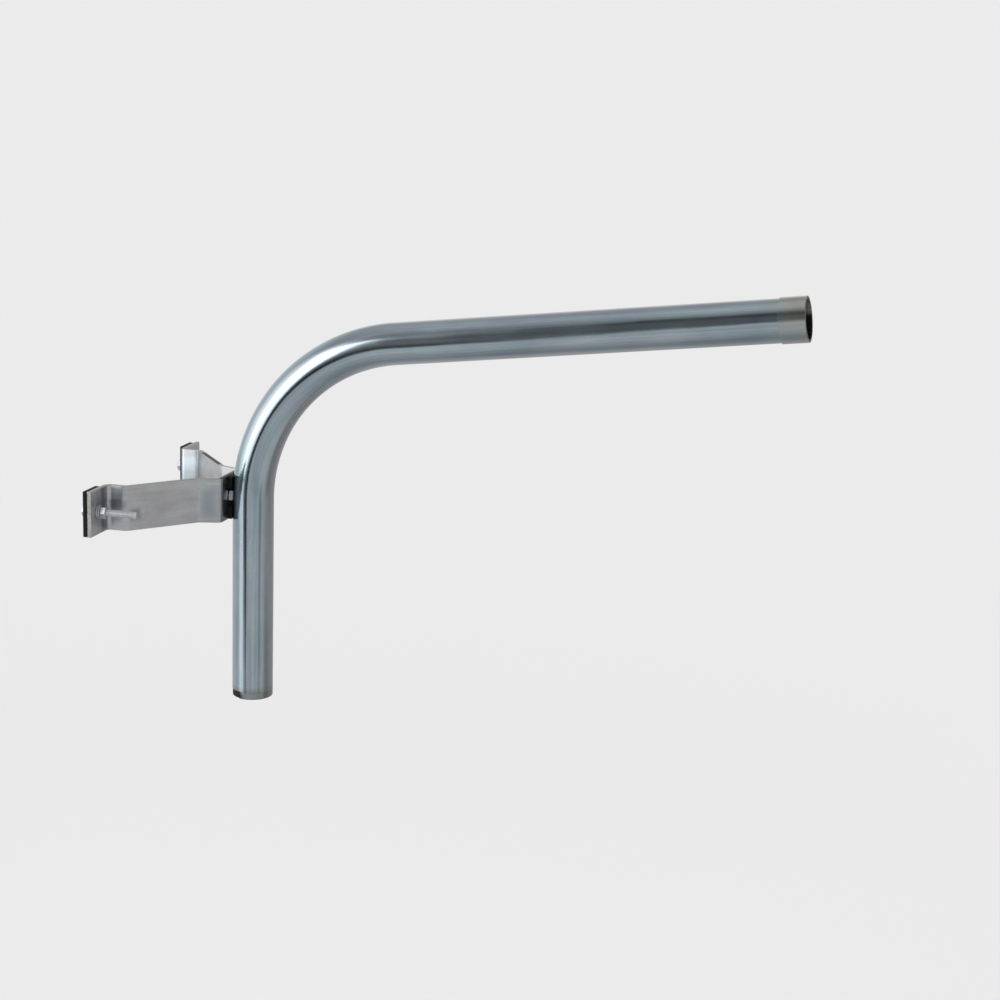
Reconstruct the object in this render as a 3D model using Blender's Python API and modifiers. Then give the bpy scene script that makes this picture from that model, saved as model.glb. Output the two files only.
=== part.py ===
"""Lamp arm: a bent tube on a forked pole clamp, in metres, +Z up.

The origin is the middle of the clamp's mouth: on the flanges' pole side, halfway across
the fork and at half the strap's height. The arm reaches out along +X.
"""
from collections import namedtuple
from math import cos, pi, radians, sin, sqrt, tan

import bmesh
import bpy
from mathutils import Matrix, Vector

# Arm tube
TUBE_DIAMETER = 0.0483
TUBE_WALL = 0.002
BEND_RADIUS = 0.197
ARM_TILT = radians(7.5)
ARM_STRAIGHT = 0.467
POST_LENGTH = 0.230
BEND_START_Z = -0.001
TUBE_SIDES = 40
BEND_STEPS = 22

# Sleeve at the lamp end and bush at the lower end
SLEEVE_LENGTH = 0.029
SLEEVE_WALL = 0.0008
BUSH_RIM_HEIGHT = 0.0087
BUSH_SKIRT_LENGTH = 0.018
BUSH_SKIRT_WALL = 0.002
BUSH_CABLE_HOLE = 0.028
BUSH_ROUNDING = 0.0012

# Clamp strap: a flat bar bent to a fork, sizes along its middle surface
STRAP_HEIGHT = 0.0525
STRAP_THICKNESS = 0.005
WEB_BEND_RADIUS = 0.005
SLANT_BEND_RADIUS = 0.010
FLANGE_BEND_RADIUS = 0.0035
STRAP_BEND_STEPS = 5
STRAP_EDGE_ROUND = 0.0005
END_DEPTH = 0.0235
SLANT_DEPTH = 0.0585
LEG_DEPTH = 0.02385
MOUTH_HALF_WIDTH = 0.105
LEG_HALF_WIDTH = 0.036
WEB_HALF_WIDTH = 0.028
SPAN_HALF_WIDTH = 0.150

# Black pads
CLAMP_PAD_THICKNESS = 0.005
CLAMP_PAD_WIDTH = 0.028
SADDLE_GAP = 0.0035
SADDLE_WIDTH = 0.024
SADDLE_WRAP = 0.0024
SADDLE_SPACING = 0.022
SADDLE_SPAN = 0.050
PAD_EDGE_ROUND = 0.0006

# M8 fasteners of the pole clamp
CLAMP_THREAD = 0.008
CLAMP_FLATS = 0.013
CLAMP_HEAD = 0.0053
CLAMP_NUT = 0.0065
CLAMP_WASHER = 0.016
CLAMP_WASHER_THICKNESS = 0.0016
CLAMP_SPRING = 0.0148
CLAMP_SPRING_THICKNESS = 0.002
CLAMP_BOLT_LENGTH = 0.060
FRONT_BOLT_EDGE = 0.018
REAR_BOLT_EDGE = 0.022

# M12 fasteners between strap and tube
FIXING_THREAD = 0.012
FIXING_FLATS = 0.019
FIXING_HEAD = 0.0075
FIXING_NUT = 0.006
FIXING_WASHER = 0.024
FIXING_WASHER_THICKNESS = 0.0025
FIXING_SPRING = 0.0211
FIXING_SPRING_THICKNESS = 0.0025
FIXING_BOLT_LENGTH = 0.025
WELD_NUT_TURN = radians(15)

HOLE_PLAY = 0.001
SPRING_WASHER_SLOT = 0.0012
SPRING_WASHER_SLANT = radians(25)
THREAD_CHAMFER = 0.0008
HEX_CHAMFER_ANGLE = radians(30)

CLEARANCE = 0.0003
BORE_OVERRUN = 0.004

# Places worked out from the sizes above
TUBE_RADIUS = TUBE_DIAMETER / 2
BORE_RADIUS = TUBE_RADIUS - TUBE_WALL
FLANGE_X = STRAP_THICKNESS / 2
END_X = FLANGE_X + END_DEPTH
SLANT_X = END_X + SLANT_DEPTH
WEB_X = SLANT_X + LEG_DEPTH
FRONT_BOLT_Y = FRONT_BOLT_EDGE - SPAN_HALF_WIDTH
REAR_BOLT_Y = SPAN_HALF_WIDTH - REAR_BOLT_EDGE
WEB_POLE_FACE = WEB_X - STRAP_THICKNESS / 2
WEB_TUBE_FACE = WEB_X + STRAP_THICKNESS / 2
TUBE_FACE = WEB_TUBE_FACE + SADDLE_GAP
TUBE_X = TUBE_FACE + TUBE_RADIUS
TUBE_FOOT_Z = BEND_START_Z - POST_LENGTH
ARM_DIRECTION = Vector((cos(ARM_TILT), 0, sin(ARM_TILT)))

Fastener = namedtuple(
    "Fastener", "thread flats head nut washer washer_thickness spring spring_thickness")
CLAMP = Fastener(
    CLAMP_THREAD, CLAMP_FLATS, CLAMP_HEAD, CLAMP_NUT, CLAMP_WASHER, CLAMP_WASHER_THICKNESS,
    CLAMP_SPRING, CLAMP_SPRING_THICKNESS)
FIXING = Fastener(
    FIXING_THREAD, FIXING_FLATS, FIXING_HEAD, FIXING_NUT, FIXING_WASHER, FIXING_WASHER_THICKNESS,
    FIXING_SPRING, FIXING_SPRING_THICKNESS)

ZINC = (0.55, 0.59, 0.62)
BRIGHT_ZINC = (0.66, 0.68, 0.70)
WARM_ZINC = (0.52, 0.52, 0.47)
BLACK_RUBBER = (0.012, 0.012, 0.013)
GREY_PLASTIC = (0.22, 0.23, 0.23)


def clear_scene():
    for item in list(bpy.data.objects):
        bpy.data.objects.remove(item, do_unlink=True)


def make_collection(name):
    collection = bpy.data.collections.new(name)
    bpy.context.scene.collection.children.link(collection)
    return collection


clear_scene()
PARTS = make_collection("lamp_arm")
CUTTERS = make_collection("cutters")


def add_object(name, mesh, collection=None):
    item = bpy.data.objects.new(name, mesh)
    (collection or PARTS).objects.link(item)
    return item


def add_cutter(name, mesh):
    cutter = add_object(name, mesh, CUTTERS)
    cutter.hide_render = True
    cutter.display_type = "WIRE"
    return cutter


def paint(item, colour, roughness, metallic):
    material = bpy.data.materials.new(item.name)
    material.use_nodes = True
    shader = material.node_tree.nodes["Principled BSDF"]
    shader.inputs["Base Color"].default_value = (*colour, 1)
    shader.inputs["Roughness"].default_value = roughness
    shader.inputs["Metallic"].default_value = metallic
    item.data.materials.clear()
    item.data.materials.append(material)


def smooth(mesh, angle=35):
    mesh.shade_smooth()
    mesh.set_sharp_from_angle(angle=radians(angle))


def boolean(item, cutter, operation="DIFFERENCE"):
    modifier = item.modifiers.new(operation.lower(), "BOOLEAN")
    modifier.operation = operation
    modifier.solver = "EXACT"
    modifier.object = cutter


def round_edges(item, width, segments=2, angle=50):
    modifier = item.modifiers.new("round_edges", "BEVEL")
    modifier.width = width
    modifier.segments = segments
    modifier.limit_method = "ANGLE"
    modifier.angle_limit = radians(angle)
    modifier.use_clamp_overlap = True


def rounded_path(corners, radii, steps):
    """Points of a flat path whose inner corners are arcs of the given radii."""
    corners = [Vector(corner) for corner in corners]
    points = [corners[0]]
    for before, corner, after, radius in zip(corners, corners[1:], corners[2:], radii):
        to_before = (before - corner).normalized()
        to_after = (after - corner).normalized()
        half_angle = to_before.angle(to_after) / 2
        start = corner + to_before * (radius / tan(half_angle))
        middle = corner + (to_before + to_after).normalized() * (radius / sin(half_angle))
        turn = pi - 2 * half_angle
        across = (start - middle).normalized()
        along = -to_before
        for step in range(steps + 1):
            angle = turn * step / steps
            points.append(middle + (across * cos(angle) + along * sin(angle)) * radius)
    points.append(corners[-1])
    return points


def pipe_mesh(name, points, radius, sides):
    """Mesh of a round bar along the points, made from a bevelled curve."""
    curve = bpy.data.curves.new(name, "CURVE")
    curve.dimensions = "3D"
    curve.bevel_depth = radius
    curve.bevel_resolution = (sides - 4) // 2
    curve.use_fill_caps = True
    spline = curve.splines.new("POLY")
    spline.points.add(len(points) - 1)
    for knot, point in zip(spline.points, points):
        knot.co = (*point, 1)
    holder = add_object(name, curve, CUTTERS)
    bpy.context.view_layer.update()
    graph = bpy.context.evaluated_depsgraph_get()
    mesh = bpy.data.meshes.new_from_object(holder.evaluated_get(graph))
    bpy.data.objects.remove(holder, do_unlink=True)
    shell = bmesh.new()
    shell.from_mesh(mesh)
    bmesh.ops.remove_doubles(shell, verts=shell.verts, dist=0.00001)
    bmesh.ops.recalc_face_normals(shell, faces=shell.faces)
    shell.to_mesh(mesh)
    shell.free()
    return mesh


def prism_mesh(name, radius, low, high, sides):
    """Upright cylinder or prism from z low to z high."""
    shell = bmesh.new()
    place = Matrix.Translation((0, 0, (low + high) / 2))
    bmesh.ops.create_cone(
        shell, cap_ends=True, segments=sides, radius1=radius, radius2=radius,
        depth=high - low, matrix=place)
    mesh = bpy.data.meshes.new(name)
    shell.to_mesh(mesh)
    shell.free()
    return mesh


def box_mesh(name, low, high):
    low, high = Vector(low), Vector(high)
    shell = bmesh.new()
    bmesh.ops.create_cube(shell, size=1)
    bmesh.ops.scale(shell, vec=high - low, verts=shell.verts)
    bmesh.ops.translate(shell, vec=(low + high) / 2, verts=shell.verts)
    mesh = bpy.data.meshes.new(name)
    shell.to_mesh(mesh)
    shell.free()
    return mesh


def turned(name, profile, collection=None, steps=32, closed=True):
    """Turned piece about its own z axis; the profile runs down its outer side."""
    shell = bmesh.new()
    points = [shell.verts.new((radius, 0, height)) for radius, height in profile]
    for first, second in zip(points, points[1:]):
        shell.edges.new((first, second))
    if closed:
        shell.edges.new((points[-1], points[0]))
    mesh = bpy.data.meshes.new(name)
    shell.to_mesh(mesh)
    shell.free()
    item = add_object(name, mesh, collection)
    screw = item.modifiers.new("turn", "SCREW")
    screw.axis = "Z"
    screw.angle = 2 * pi
    screw.steps = steps
    screw.render_steps = steps
    screw.use_merge_vertices = True
    screw.merge_threshold = 0.00001
    screw.use_smooth_shade = True
    return item


def along_x(item, x, y=0.0):
    """Turns an upright piece so that its z axis points along +X, and places it."""
    item.rotation_euler = (0, radians(90), 0)
    item.location = (x, y, 0)


def arm_path(foot_overrun=0.0, end_overrun=0.0):
    """Centre line of the tube, from its foot to the lamp end."""
    bend_height = BEND_RADIUS * tan((pi / 2 - ARM_TILT) / 2)
    corner = Vector((TUBE_X, 0, BEND_START_Z + bend_height))
    foot = Vector((TUBE_X, 0, TUBE_FOOT_Z - foot_overrun))
    end = corner + ARM_DIRECTION * (bend_height + ARM_STRAIGHT + end_overrun)
    return rounded_path([foot, corner, end], [BEND_RADIUS], BEND_STEPS)


def make_arm_tube():
    tube = add_object("arm_tube", pipe_mesh("arm_tube", arm_path(), TUBE_RADIUS, TUBE_SIDES))
    bore_path = arm_path(BORE_OVERRUN, BORE_OVERRUN)
    bore = add_cutter("arm_bore", pipe_mesh("arm_bore", bore_path, BORE_RADIUS, TUBE_SIDES))
    boolean(tube, bore)
    hole_radius = FIXING_FLATS / sqrt(3) + CLEARANCE
    hole = add_cutter("nut_hole", prism_mesh("nut_hole", hole_radius, -TUBE_WALL, TUBE_RADIUS, 32))
    along_x(hole, TUBE_FACE)
    boolean(tube, hole)
    smooth(tube.data)
    paint(tube, ZINC, 0.32, 1.0)


def make_arm_end_sleeve():
    inner = TUBE_RADIUS + CLEARANCE
    outer = inner + SLEEVE_WALL
    profile = [(outer, 0), (outer, -SLEEVE_LENGTH), (inner, -SLEEVE_LENGTH), (inner, 0)]
    sleeve = turned("arm_end_sleeve", profile, steps=TUBE_SIDES)
    sleeve.location = arm_path()[-1] - ARM_DIRECTION * CLEARANCE
    sleeve.rotation_euler = (0, pi / 2 - ARM_TILT, 0)
    paint(sleeve, WARM_ZINC, 0.38, 1.0)


def make_lower_end_bush():
    skirt = BORE_RADIUS - CLEARANCE
    hole = BUSH_CABLE_HOLE / 2
    top = -CLEARANCE
    foot = top - BUSH_RIM_HEIGHT
    rounding = BUSH_ROUNDING
    profile = [
        (skirt, BUSH_SKIRT_LENGTH), (skirt, top), (TUBE_RADIUS, top),
        (TUBE_RADIUS, foot + rounding), (TUBE_RADIUS - 0.3 * rounding, foot + 0.3 * rounding),
        (TUBE_RADIUS - rounding, foot), (hole + rounding, foot), (hole, foot + rounding),
        (hole, top - rounding), (skirt - BUSH_SKIRT_WALL, top + rounding),
        (skirt - BUSH_SKIRT_WALL, BUSH_SKIRT_LENGTH)]
    bush = turned("lower_end_bush", profile, steps=TUBE_SIDES)
    bush.location = (TUBE_X, 0, TUBE_FOOT_Z)
    paint(bush, GREY_PLASTIC, 0.45, 0.0)


def make_clamp_strap():
    corners = [
        (WEB_X, 0, 0), (WEB_X, WEB_HALF_WIDTH, 0), (SLANT_X, LEG_HALF_WIDTH, 0),
        (END_X, MOUTH_HALF_WIDTH, 0), (FLANGE_X, MOUTH_HALF_WIDTH, 0),
        (FLANGE_X, SPAN_HALF_WIDTH, 0)]
    radii = [WEB_BEND_RADIUS, SLANT_BEND_RADIUS, SLANT_BEND_RADIUS, FLANGE_BEND_RADIUS]
    path = rounded_path(corners, radii, STRAP_BEND_STEPS)
    shell = bmesh.new()
    top = [shell.verts.new((point.x, point.y, STRAP_HEIGHT / 2)) for point in path]
    foot = [shell.verts.new((point.x, point.y, -STRAP_HEIGHT / 2)) for point in path]
    for index in range(len(path) - 1):
        shell.faces.new((top[index], foot[index], foot[index + 1], top[index + 1]))
    mesh = bpy.data.meshes.new("clamp_strap")
    shell.to_mesh(mesh)
    shell.free()
    strap = add_object("clamp_strap", mesh)
    mirror = strap.modifiers.new("both_sides", "MIRROR")
    mirror.use_axis = (False, True, False)
    mirror.merge_threshold = 0.00001
    solidify = strap.modifiers.new("thickness", "SOLIDIFY")
    solidify.thickness = STRAP_THICKNESS
    solidify.offset = 0
    solidify.use_even_offset = True
    round_edges(strap, STRAP_EDGE_ROUND)
    for name, thread, x, y in (
            ("web_hole", FIXING_THREAD, WEB_X, 0),
            ("front_flange_hole", CLAMP_THREAD, FLANGE_X, FRONT_BOLT_Y),
            ("rear_flange_hole", CLAMP_THREAD, FLANGE_X, REAR_BOLT_Y)):
        radius = (thread + HOLE_PLAY) / 2
        hole = add_cutter(name, prism_mesh(name, radius, -STRAP_THICKNESS, STRAP_THICKNESS, 32))
        along_x(hole, x, y)
        boolean(strap, hole)
    smooth(mesh)
    paint(strap, BRIGHT_ZINC, 0.36, 1.0)


def make_saddle_pad(name, low, high):
    """Rubber block between the web and the tube, hollowed to the tube."""
    half = SADDLE_WIDTH / 2
    pad = add_object(name, box_mesh(
        name, (WEB_TUBE_FACE + CLEARANCE, -half, low), (TUBE_FACE + SADDLE_WRAP, half, high)))
    hollow_name = name + "_hollow"
    hollow = add_cutter(
        hollow_name, pipe_mesh(hollow_name, arm_path(), TUBE_RADIUS + CLEARANCE, TUBE_SIDES))
    boolean(pad, hollow)
    paint(pad, BLACK_RUBBER, 0.6, 0.0)


def make_clamp_pad(side, y):
    name = side + "_clamp_pad"
    half = CLAMP_PAD_WIDTH / 2
    low = (-CLAMP_PAD_THICKNESS, -half, -STRAP_HEIGHT / 2)
    pad = add_object(name, box_mesh(name, low, (0, half, STRAP_HEIGHT / 2)))
    pad.location = (-CLEARANCE, y, 0)
    round_edges(pad, PAD_EDGE_ROUND)
    hole_name = side + "_pad_hole"
    radius = (CLAMP_THREAD + HOLE_PLAY) / 2
    reach = 2 * CLAMP_PAD_THICKNESS
    hole = add_cutter(hole_name, prism_mesh(hole_name, radius, -reach, reach, 32))
    along_x(hole, 0, y)
    boolean(pad, hole)
    paint(pad, BLACK_RUBBER, 0.6, 0.0)


def hex_body(name, flats, height, both_ends=False):
    """Hexagonal prism from z 0 down to minus height, chamfered below or at both ends."""
    corner = flats / sqrt(3)
    inscribed = flats / 2
    over = corner + THREAD_CHAMFER
    body = add_object(name, prism_mesh(name, corner, -height, 0, 6))
    drop = (corner - inscribed) * tan(HEX_CHAMFER_ANGLE)
    if both_ends:
        upper = [(0, 0), (inscribed, 0), (corner, -drop)]
    else:
        upper = [
            (0, THREAD_CHAMFER), (over, THREAD_CHAMFER), (over, -height / 2),
            (corner, -height / 2)]
    lower = [(corner, -height + drop), (inscribed, -height), (0, -height)]
    chamfer = turned(name + "_chamfer", upper + lower, CUTTERS, steps=36, closed=False)
    chamfer.hide_render = True
    chamfer.display_type = "WIRE"
    boolean(body, chamfer, "INTERSECT")
    return body, chamfer


def make_bolt(name, size, length, underside, y=0.0):
    """Hexagon bolt along +X: its head ends at the underside, its shank runs on."""
    bolt, chamfer = hex_body(name, size.flats, size.head)
    radius = size.thread / 2
    sunk = size.head / 2
    profile = [
        (0, length), (radius - THREAD_CHAMFER, length), (radius, length - THREAD_CHAMFER),
        (radius, -sunk), (0, -sunk)]
    shank = turned(name + "_shank", profile, CUTTERS, steps=24, closed=False)
    shank.hide_render = True
    shank.display_type = "WIRE"
    boolean(bolt, shank, "UNION")
    for item in (bolt, chamfer, shank):
        along_x(item, underside, y)
    paint(bolt, BRIGHT_ZINC, 0.3, 1.0)


def make_nut(name, size, start, y=0.0, turn=0.0):
    """Hexagon nut from x start, chamfered on both faces and turned about its axis."""
    nut, chamfer = hex_body(name, size.flats, size.nut, both_ends=True)
    nut.data.transform(Matrix.Rotation(turn, 4, "Z"))
    bore_name = name + "_bore"
    bore_radius = size.thread / 2 + CLEARANCE
    bore = add_cutter(bore_name, prism_mesh(bore_name, bore_radius, -2 * size.nut, size.nut, 24))
    boolean(nut, bore)
    for item in (nut, chamfer, bore):
        along_x(item, start + size.nut, y)
    paint(nut, BRIGHT_ZINC, 0.3, 1.0)


def make_washer(name, size, start, y=0.0):
    inner = size.thread / 2 + 2 * CLEARANCE
    outer = size.washer / 2
    height = size.washer_thickness
    washer = turned(name, [(outer, height), (outer, 0), (inner, 0), (inner, height)])
    along_x(washer, start, y)
    paint(washer, BRIGHT_ZINC, 0.35, 1.0)


def make_spring_washer(name, size, start, y=0.0):
    """Split ring with a slanted slot on its upper side."""
    inner = size.thread / 2 + 2 * CLEARANCE
    outer = size.spring / 2
    height = size.spring_thickness
    ring = turned(name, [(outer, height), (outer, 0), (inner, 0), (inner, height)])
    slot_name = name + "_slot"
    half = SPRING_WASHER_SLOT / 2
    low = (-2 * height, -half, 0)
    slot = add_cutter(slot_name, box_mesh(slot_name, low, (2 * height, half, 2 * outer)))
    slot.rotation_euler = (0, 0, SPRING_WASHER_SLANT)
    slot.location = (start + height / 2, y, 0)
    boolean(ring, slot)
    along_x(ring, start, y)
    paint(ring, BRIGHT_ZINC, 0.35, 1.0)


def make_clamp_fasteners(side, y):
    """Bolt, washers, pad and nut of one flange, stacked along X."""
    make_clamp_pad(side, y)
    head_washer = -CLEARANCE - CLAMP_PAD_THICKNESS - CLEARANCE - CLAMP.washer_thickness
    make_washer(side + "_head_washer", CLAMP, head_washer, y)
    make_bolt(side + "_clamp_bolt", CLAMP, CLAMP_BOLT_LENGTH, head_washer - CLEARANCE, y)
    nut_washer = STRAP_THICKNESS + CLEARANCE
    spring = nut_washer + CLAMP.washer_thickness + CLEARANCE
    make_washer(side + "_nut_washer", CLAMP, nut_washer, y)
    make_spring_washer(side + "_spring_washer", CLAMP, spring, y)
    make_nut(side + "_clamp_nut", CLAMP, spring + CLAMP.spring_thickness + CLEARANCE, y)


def make_tube_fixing():
    """Bolt through the web into a thin nut that is welded into a hole of the tube's wall."""
    washer = WEB_POLE_FACE - CLEARANCE - FIXING.washer_thickness
    spring = washer - CLEARANCE - FIXING.spring_thickness
    make_washer("fixing_washer", FIXING, washer)
    make_spring_washer("fixing_spring_washer", FIXING, spring)
    make_bolt("fixing_bolt", FIXING, FIXING_BOLT_LENGTH, spring - CLEARANCE)
    make_nut("tube_weld_nut", FIXING, WEB_TUBE_FACE + CLEARANCE, turn=WELD_NUT_TURN)


make_arm_tube()
make_arm_end_sleeve()
make_lower_end_bush()
make_clamp_strap()
make_saddle_pad("upper_saddle_pad", SADDLE_SPACING / 2, SADDLE_SPAN / 2)
make_saddle_pad("lower_saddle_pad", -SADDLE_SPAN / 2, -SADDLE_SPACING / 2)
make_tube_fixing()
make_clamp_fasteners("front", FRONT_BOLT_Y)
make_clamp_fasteners("rear", REAR_BOLT_Y)
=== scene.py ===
"""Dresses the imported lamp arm: fine meshes, threads, materials, floor, light and camera."""

from math import atan2, cos, hypot, pi, radians, sin, sqrt, tan

import bmesh
import bpy
from mathutils import Matrix, Vector


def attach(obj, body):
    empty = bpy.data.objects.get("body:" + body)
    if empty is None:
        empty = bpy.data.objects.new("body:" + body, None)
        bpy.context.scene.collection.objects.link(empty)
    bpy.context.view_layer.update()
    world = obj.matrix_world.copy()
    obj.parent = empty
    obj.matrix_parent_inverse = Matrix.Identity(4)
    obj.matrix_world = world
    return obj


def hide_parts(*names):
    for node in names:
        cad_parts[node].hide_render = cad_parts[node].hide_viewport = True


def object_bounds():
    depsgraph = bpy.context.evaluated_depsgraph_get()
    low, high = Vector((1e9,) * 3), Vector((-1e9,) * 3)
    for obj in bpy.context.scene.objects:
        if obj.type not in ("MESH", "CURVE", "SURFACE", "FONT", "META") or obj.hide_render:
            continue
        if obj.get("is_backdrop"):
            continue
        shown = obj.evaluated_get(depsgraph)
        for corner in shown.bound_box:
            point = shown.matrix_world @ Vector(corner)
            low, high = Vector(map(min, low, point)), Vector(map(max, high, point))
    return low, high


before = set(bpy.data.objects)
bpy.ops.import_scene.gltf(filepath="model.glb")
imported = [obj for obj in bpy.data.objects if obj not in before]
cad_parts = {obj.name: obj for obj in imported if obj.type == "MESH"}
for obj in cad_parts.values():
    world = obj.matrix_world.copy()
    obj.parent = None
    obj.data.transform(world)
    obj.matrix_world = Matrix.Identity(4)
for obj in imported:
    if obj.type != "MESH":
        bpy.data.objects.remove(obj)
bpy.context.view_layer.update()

# Tube, sleeve and bush, in metres
TUBE_RADIUS = 0.02415
BORE_RADIUS = 0.02215
BEND_RADIUS = 0.197
ARM_TILT = radians(7.5)
ARM_STRAIGHT = 0.467
POST_LENGTH = 0.230
BEND_START_Z = -0.001
TUBE_X = 0.1385
TUBE_FACE = 0.11435
TUBE_CHAMFER = 0.0004
SLEEVE_LENGTH = 0.029
SLEEVE_WALL = 0.0008
THIN_LIP = 0.00012
CLEARANCE = 0.0003
BUSH_RIM_HEIGHT = 0.0087
BUSH_HOLE = 0.014
BUSH_ROUNDING = 0.0009
BAND_DEPTH = 0.0009
BAND_NOTCH_HALF = radians(72)
CORE_RECESS = 0.0003
SKIRT_LENGTH = 0.018
SKIRT_WALL = 0.002
SKIRT_CHAMFER = 0.0006
FUNNEL_LOW, FUNNEL_HIGH = -0.0015, 0.0009
ARM_DIRECTION = Vector((cos(ARM_TILT), 0, sin(ARM_TILT)))
BEND_TURN = pi / 2 - ARM_TILT
BEND_CENTRE = Vector((TUBE_X + BEND_RADIUS, 0, BEND_START_Z))
BEND_LENGTH = BEND_RADIUS * BEND_TURN
BEND_END = POST_LENGTH + BEND_LENGTH
PATH_LENGTH = BEND_END + ARM_STRAIGHT
TUBE_FOOT_Z = BEND_START_Z - POST_LENGTH

# Strap and rubber, in metres: X and half widths are those of the strap's middle line
STRAP_HEIGHT = 0.0525
STRAP_THICKNESS = 0.005
STRAP_EDGE = 0.0007
FLANGE_X, END_X, SLANT_X, WEB_X = 0.0025, 0.026, 0.0845, 0.10835
WEB_TUBE_FACE = 0.11085
MOUTH_HALF, LEG_HALF, WEB_HALF, SPAN_HALF = 0.105, 0.036, 0.028, 0.150
INNER_BENDS = [0.005, 0.010, 0.010]
FRONT_FLANGE_BEND, REAR_FLANGE_BEND = 0.0075, 0.0032
BOLT_Y = {"front": -0.132, "rear": 0.128}
PAD_WIDTH, PAD_THICKNESS, PAD_ROUNDING = 0.028, 0.005, 0.0006
PAD_INSET = 0.0004
SADDLE_HALF, SADDLE_WRAP, SADDLE_ROUNDING = 0.012, 0.0024, 0.0004
SADDLE_HEIGHTS = {"upper": (0.011, 0.025), "lower": (-0.025, -0.011)}

# Fasteners, in metres; a washer is its hole's radius, its own radius and its thickness
CLAMP_FLATS, CLAMP_HEAD, CLAMP_NUT = 0.013, 0.0053, 0.0065
CLAMP_RADIUS, CLAMP_BORE, CLAMP_PITCH, CLAMP_LENGTH = 0.004, 0.0043, 0.00125, 0.060
CLAMP_HOLE = 0.0045
CLAMP_WASHER, CLAMP_SPRING = (0.0046, 0.008, 0.0016), (0.0046, 0.0074, 0.002)
FIXING_FLATS, FIXING_HEAD, FIXING_NUT = 0.019, 0.0075, 0.006
FIXING_RADIUS, FIXING_BORE, FIXING_PITCH, FIXING_LENGTH = 0.006, 0.0063, 0.00175, 0.025
FIXING_HOLE = 0.0065
FIXING_WASHER, FIXING_SPRING = (0.0066, 0.012, 0.0025), (0.0066, 0.01055, 0.0025)
WELD_NUT_TURN = radians(15)
WASHER_LIP = 0.0002
HALF_SPLIT = 0.0006
BORE_CHAMFER = 0.0006
CORNER_CHAMFER = 0.0003
CORNER_SLOPE = 0.577

# Fineness of the meshes
RING_SIDES = 96
WASHER_SIDES = 56
SPLIT_STEPS = 54
HEXAGON_SIDES = 72
THREAD_SIDES = 28
THREAD_ROWS_PER_TURN = 10
POST_STEPS, BEND_STEPS, ARM_STEPS = 14, 72, 24
STRAP_BEND_STEPS = 12


# Materials
def math_node(tree, operation, *values):
    made = tree.nodes.new("ShaderNodeMath")
    made.operation = operation
    for socket, value in zip(made.inputs, values):
        if hasattr(value, "is_output"):
            tree.links.new(value, socket)
        else:
            socket.default_value = value
    return made.outputs[0]


def add(tree, first, second):
    return math_node(tree, "ADD", first, second)


def subtract(tree, first, second):
    return math_node(tree, "SUBTRACT", first, second)


def multiply(tree, first, second):
    return math_node(tree, "MULTIPLY", first, second)


def invert(tree, mask):
    return subtract(tree, 1.0, mask)


def spread(tree, value, low, high, out_low=0.0, out_high=1.0, kind="LINEAR"):
    """Maps low to out_low and high to out_high, and holds these values outside."""
    made = tree.nodes.new("ShaderNodeMapRange")
    made.interpolation_type = kind
    tree.links.new(value, made.inputs["Value"])
    made.inputs["From Min"].default_value = low
    made.inputs["From Max"].default_value = high
    made.inputs["To Min"].default_value = out_low
    made.inputs["To Max"].default_value = out_high
    return made.outputs["Result"]


def smooth(tree, value, low, high):
    """0 below low and 1 above high, with a soft step between them."""
    return spread(tree, value, low, high, kind="SMOOTHSTEP")


def window(tree, value, rise, full, fade, gone):
    """1 between full and fade, 0 outside rise and gone."""
    opening = smooth(tree, value, rise, full)
    closing = invert(tree, smooth(tree, value, fade, gone))
    return multiply(tree, opening, closing)


def noise(tree, vector, scale, stretch=(1, 1, 1), detail=3.0, roughness=0.55):
    mapping = tree.nodes.new("ShaderNodeMapping")
    mapping.inputs["Scale"].default_value = [scale * part for part in stretch]
    tree.links.new(vector, mapping.inputs["Vector"])
    made = tree.nodes.new("ShaderNodeTexNoise")
    made.inputs["Scale"].default_value = 1.0
    made.inputs["Detail"].default_value = detail
    made.inputs["Roughness"].default_value = roughness
    tree.links.new(mapping.outputs["Vector"], made.inputs["Vector"])
    return made.outputs["Fac"]


def mix_colour(tree, factor, first, second, blend="MIX"):
    made = tree.nodes.new("ShaderNodeMix")
    made.data_type = "RGBA"
    made.blend_type = blend
    for index, value in ((0, factor), (6, first), (7, second)):
        if hasattr(value, "is_output"):
            tree.links.new(value, made.inputs[index])
        elif index == 0:
            made.inputs[index].default_value = value
        else:
            made.inputs[index].default_value = (*value, 1)
    return made.outputs[2]


def dimmed(colour, share):
    return tuple(part * share for part in colour)


def new_material(name):
    material = bpy.data.materials.new(name)
    material.use_nodes = True
    tree = material.node_tree
    shader = tree.nodes["Principled BSDF"]
    grain = tree.nodes.new("ShaderNodeAttribute")
    grain.attribute_name = "grain"
    return material, tree, shader, grain.outputs["Vector"]


def bump(tree, target, height, strength, distance):
    """Bump that feeds the Normal socket of the target node."""
    made = tree.nodes.new("ShaderNodeBump")
    made.inputs["Strength"].default_value = strength
    made.inputs["Distance"].default_value = distance
    tree.links.new(height, made.inputs["Height"])
    tree.links.new(made.outputs["Normal"], target.inputs["Normal"])
    return made


def patch_mask(tree, grain, low, high, soft, clouds):
    """1 inside a box of grain coordinates: soft and uneven along the surface, sharp through it."""
    parts = tree.nodes.new("ShaderNodeSeparateXYZ")
    tree.links.new(grain, parts.inputs[0])
    uneven = multiply(tree, subtract(tree, clouds, 0.5), 2.5 * soft)
    mask = 1.0
    for axis, (start, end) in enumerate(zip(low, high)):
        place, edge = parts.outputs[axis], 0.001
        if axis < 2:
            place, edge = add(tree, place, uneven), soft
        inside = window(tree, place, start - edge, start + edge, end - edge, end + edge)
        mask = multiply(tree, mask, inside)
    return mask


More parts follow.
